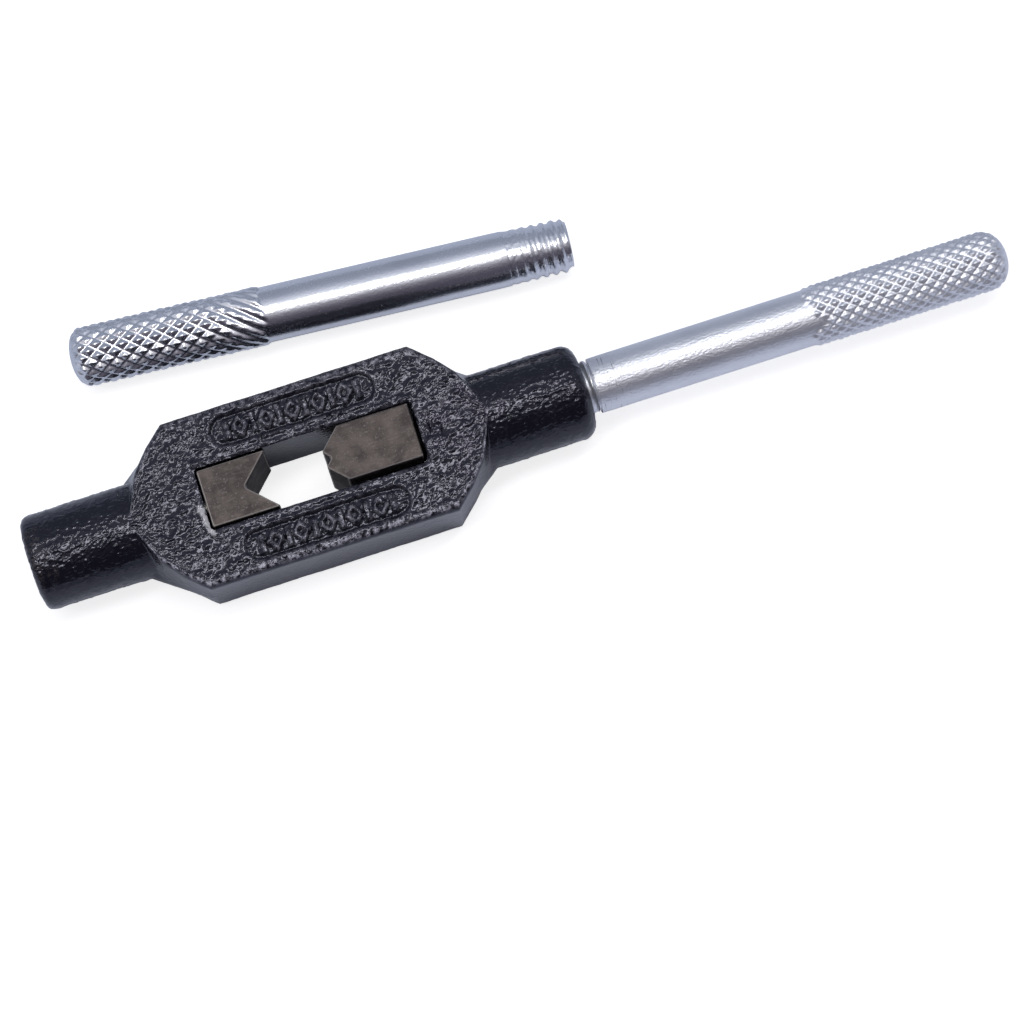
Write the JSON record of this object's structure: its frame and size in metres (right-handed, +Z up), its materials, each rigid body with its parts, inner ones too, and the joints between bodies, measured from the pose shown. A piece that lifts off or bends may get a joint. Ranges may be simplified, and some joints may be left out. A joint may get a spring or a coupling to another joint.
{
  "type": "adjustable tap wrench",
  "caption": "Adjustable tap wrench: black flat frame with a window and V jaws, one knurled steel handle screwed in to move the jaw and one unscrewed beside it.",
  "frame": {"origin": "middle of the footprint of the whole arrangement, at the table", "axes": "+X along the wrench from the open barrel to the adjusting handle, +Y across the frame towards the loose handle, +Z up out of the lettered face"},
  "size_m": [0.1256, 0.0382, 0.0127],
  "materials": {
    "black_paint": "glossy black enamel over a cast skin",
    "jaw_steel": "brown-grey oxide with lighter worn edges",
    "plated_steel": "bright zinc plating, satin",
    "pin_steel": "plain turned steel"
  },
  "bodies": {
    "casting": {"body_casting": "black_paint", "fixed_jaw": "jaw_steel", "fixed_jaw_screw": "pin_steel"},
    "moving_jaw": {"moving_jaw": "jaw_steel", "moving_jaw_pin": "pin_steel"},
    "adjusting_handle": {"adjusting_handle": "plated_steel"},
    "plain_handle": {"plain_handle": "plated_steel"}
  },
  "joints": [
    {"name": "jaw_slide", "type": "slide", "parent": "casting", "child": "moving_jaw", "axis": [-1, 0, 0], "range_m": [0, 0.00875]},
    {"name": "adjusting_handle_spin", "type": "hinge", "parent": "moving_jaw", "child": "adjusting_handle", "pos_m": [0.0092, -0.00836, 0.006], "axis": [-1, 0, 0], "range_deg": [0, 2520]},
    {"name": "plain_handle_lift", "type": "slide", "parent": "casting", "child": "plain_handle", "axis": [0, 0, 1], "range_m": [0, 0.03]}
  ],
  "couplings": [
    {"joint": "adjusting_handle_spin", "follows": "jaw_slide", "rad_per_m": 5026.5}
  ]
}
